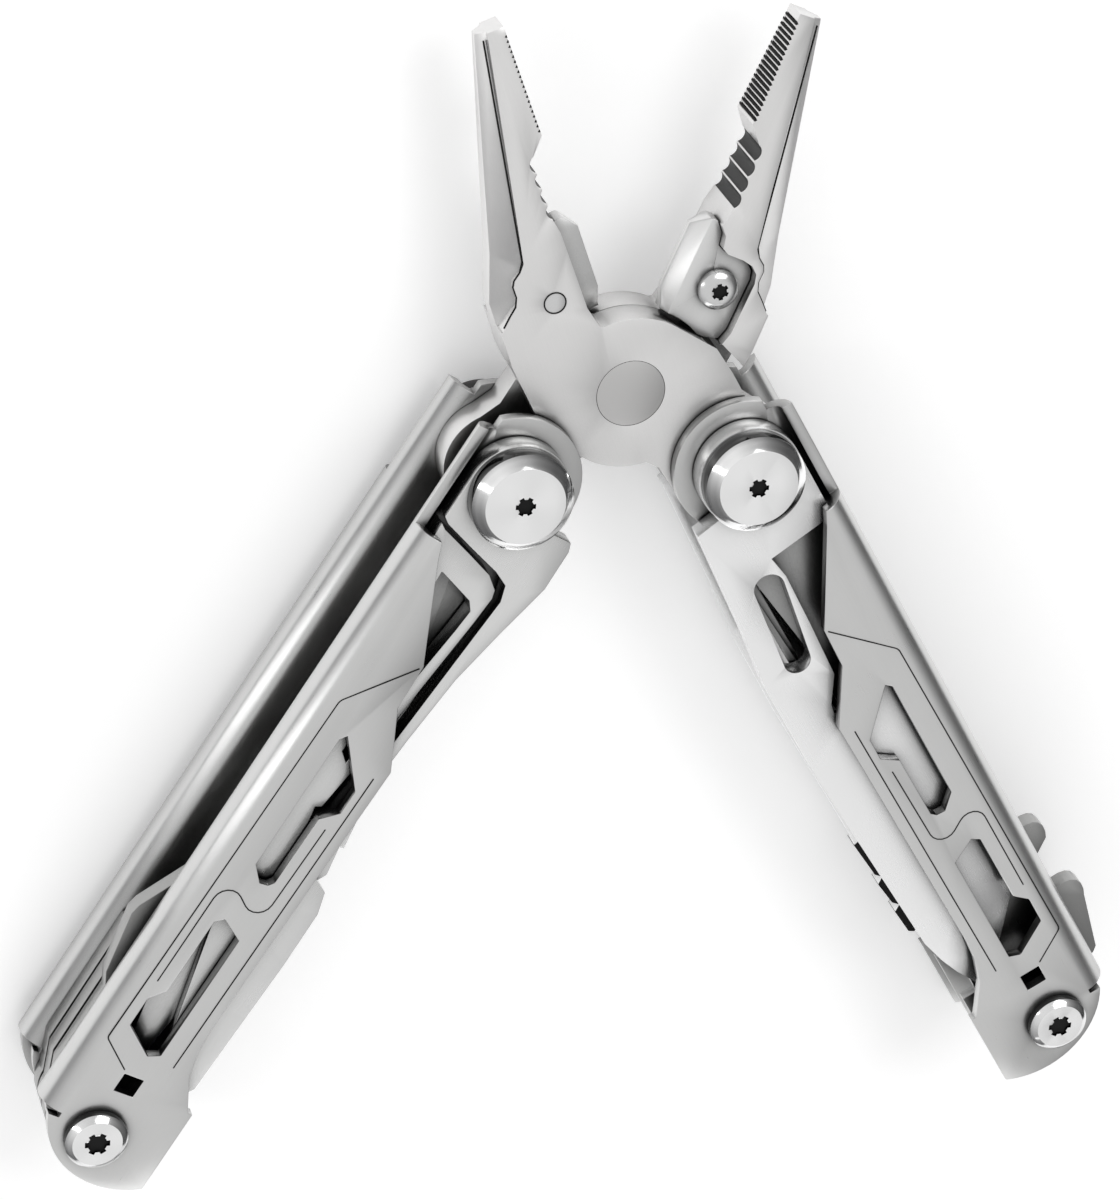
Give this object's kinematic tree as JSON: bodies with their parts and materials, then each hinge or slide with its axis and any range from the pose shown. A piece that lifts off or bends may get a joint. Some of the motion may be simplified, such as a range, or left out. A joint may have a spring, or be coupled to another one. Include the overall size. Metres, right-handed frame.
{
  "type": "multi tool",
  "caption": "Folding pocket multi tool, opened as pliers: toothed jaws with wire cutters between two channel handles that hold fold-out blades, scissors and drivers.",
  "frame": {"origin": "centre of the box round the open tool, on the plane it lies on", "axes": "+Y from the handle tails to the jaw tips, +Z out of the front face, +X toward the knife handle"},
  "size_m": [0.1224, 0.1278, 0.0196],
  "materials": {
    "handle_steel": "satin, bright on the rolled edges",
    "jaw_steel": "satin, ground facets",
    "blade_steel": "fine ground, bright",
    "tool_steel": "stamped, tumbled",
    "file_steel": "matt with cut rows",
    "bolt_steel": "polished",
    "spring_steel": "dull",
    "washer_brass": "plain"
  },
  "bodies": {
    "jaw_front": {"front_jaw": "jaw_steel", "front_cutter": "blade_steel", "front_cutter_screw": "bolt_steel"},
    "rivet": {"jaw_rivet": "spring_steel"},
    "jaw_back": {"back_jaw": "jaw_steel", "back_cutter": "blade_steel", "back_cutter_screw": "bolt_steel"},
    "handle_left": {"left_frame": "handle_steel", "left_pivot_bolt": "bolt_steel", "left_pivot_nut": "bolt_steel", "left_tail_bolt": "bolt_steel", "left_tail_nut": "bolt_steel", "left_tail_spacers": "spring_steel", "left_tool_washers": "spring_steel", "left_lock_spring": "spring_steel", "scissors_washer": "washer_brass", "file_washer": "washer_brass"},
    "handle_right": {"right_frame": "handle_steel", "right_pivot_bolt": "bolt_steel", "right_pivot_nut": "bolt_steel", "right_tail_bolt": "bolt_steel", "right_tail_nut": "bolt_steel", "right_tail_spacers": "spring_steel", "right_tool_washers": "spring_steel", "right_lock_spring": "spring_steel", "knife_washer": "washer_brass", "saw_washer": "washer_brass"},
    "knife": {"knife": "blade_steel"},
    "saw": {"saw": "blade_steel"},
    "file": {"file": "file_steel"},
    "scissors": {"scissors_base": "blade_steel", "scissors_rivet": "spring_steel"},
    "scissors_lever": {"scissors_lever": "blade_steel"},
    "can_opener": {"can_opener": "tool_steel"},
    "large_driver": {"large_driver": "tool_steel"},
    "small_driver": {"small_driver": "tool_steel"},
    "bottle_opener": {"bottle_opener": "tool_steel"},
    "cross_driver": {"cross_driver": "tool_steel"},
    "awl": {"awl": "tool_steel"}
  },
  "joints": [
    {"name": "handle_fold", "type": "hinge", "parent": "jaw_front", "child": "handle_right", "pos_m": [0.01237, 0.01606, 0.0098], "axis": [0, 0, 1], "range_deg": [0, 170.35]},
    {"name": "jaw_shut", "type": "hinge", "parent": "rivet", "child": "jaw_front", "pos_m": [0, 0.02467, 0.0098], "axis": [0, 0, -1], "range_deg": [0, 41.8]},
    {"name": "plier_squeeze", "type": "hinge", "parent": "rivet", "child": "jaw_back", "pos_m": [0, 0.02467, 0.0098], "axis": [0, 0, -1], "range_deg": [-41.8, 0]},
    {"name": "left_handle_fold", "type": "hinge", "parent": "jaw_back", "child": "handle_left", "pos_m": [-0.01237, 0.01606, 0.0098], "axis": [0, 0, -1], "range_deg": [0, 170.35]},
    {"name": "knife_open", "type": "hinge", "parent": "handle_right", "child": "knife", "pos_m": [0.01237, 0.01606, 0.0098], "axis": [0, 0, -1], "range_deg": [0, 60]},
    {"name": "saw_open", "type": "hinge", "parent": "handle_right", "child": "saw", "pos_m": [0.01237, 0.01606, 0.0098], "axis": [0, 0, -1], "range_deg": [0, 60]},
    {"name": "file_open", "type": "hinge", "parent": "handle_left", "child": "file", "pos_m": [-0.01237, 0.01606, 0.0098], "axis": [0, 0, 1], "range_deg": [0, 60]},
    {"name": "scissors_open", "type": "hinge", "parent": "handle_left", "child": "scissors", "pos_m": [-0.01237, 0.01606, 0.0098], "axis": [0, 0, 1], "range_deg": [0, 60]},
    {"name": "scissors_lever_spring", "type": "hinge", "parent": "scissors", "child": "scissors_lever", "pos_m": [-0.03939, -0.02837, 0.0098], "axis": [0, 0, 1], "range_deg": [0, 7.2]},
    {"name": "can_opener_open", "type": "hinge", "parent": "handle_right", "child": "can_opener", "pos_m": [0.05519, -0.0562, 0.0098], "axis": [0, 0, -1], "range_deg": [0, 180]},
    {"name": "large_driver_open", "type": "hinge", "parent": "handle_right", "child": "large_driver", "pos_m": [0.05519, -0.0562, 0.0098], "axis": [0, 0, -1], "range_deg": [0, 180]},
    {"name": "small_driver_open", "type": "hinge", "parent": "handle_right", "child": "small_driver", "pos_m": [0.05519, -0.0562, 0.0098], "axis": [0, 0, -1], "range_deg": [0, 180]},
    {"name": "bottle_opener_open", "type": "hinge", "parent": "handle_left", "child": "bottle_opener", "pos_m": [-0.05519, -0.0562, 0.0098], "axis": [0, 0, 1], "range_deg": [0, 180]},
    {"name": "cross_driver_open", "type": "hinge", "parent": "handle_left", "child": "cross_driver", "pos_m": [-0.05519, -0.0562, 0.0098], "axis": [0, 0, 1], "range_deg": [0, 180]},
    {"name": "awl_open", "type": "hinge", "parent": "handle_left", "child": "awl", "pos_m": [-0.05519, -0.0562, 0.0098], "axis": [0, 0, 1], "range_deg": [0, 180]}
  ],
  "couplings": [
    {"joint": "jaw_shut", "follows": "handle_fold", "ratio": 0.24538},
    {"joint": "left_handle_fold", "follows": "handle_fold", "ratio": 1},
    {"joint": "scissors_lever_spring", "follows": "scissors_open", "ratio": 0.12}
  ]
}
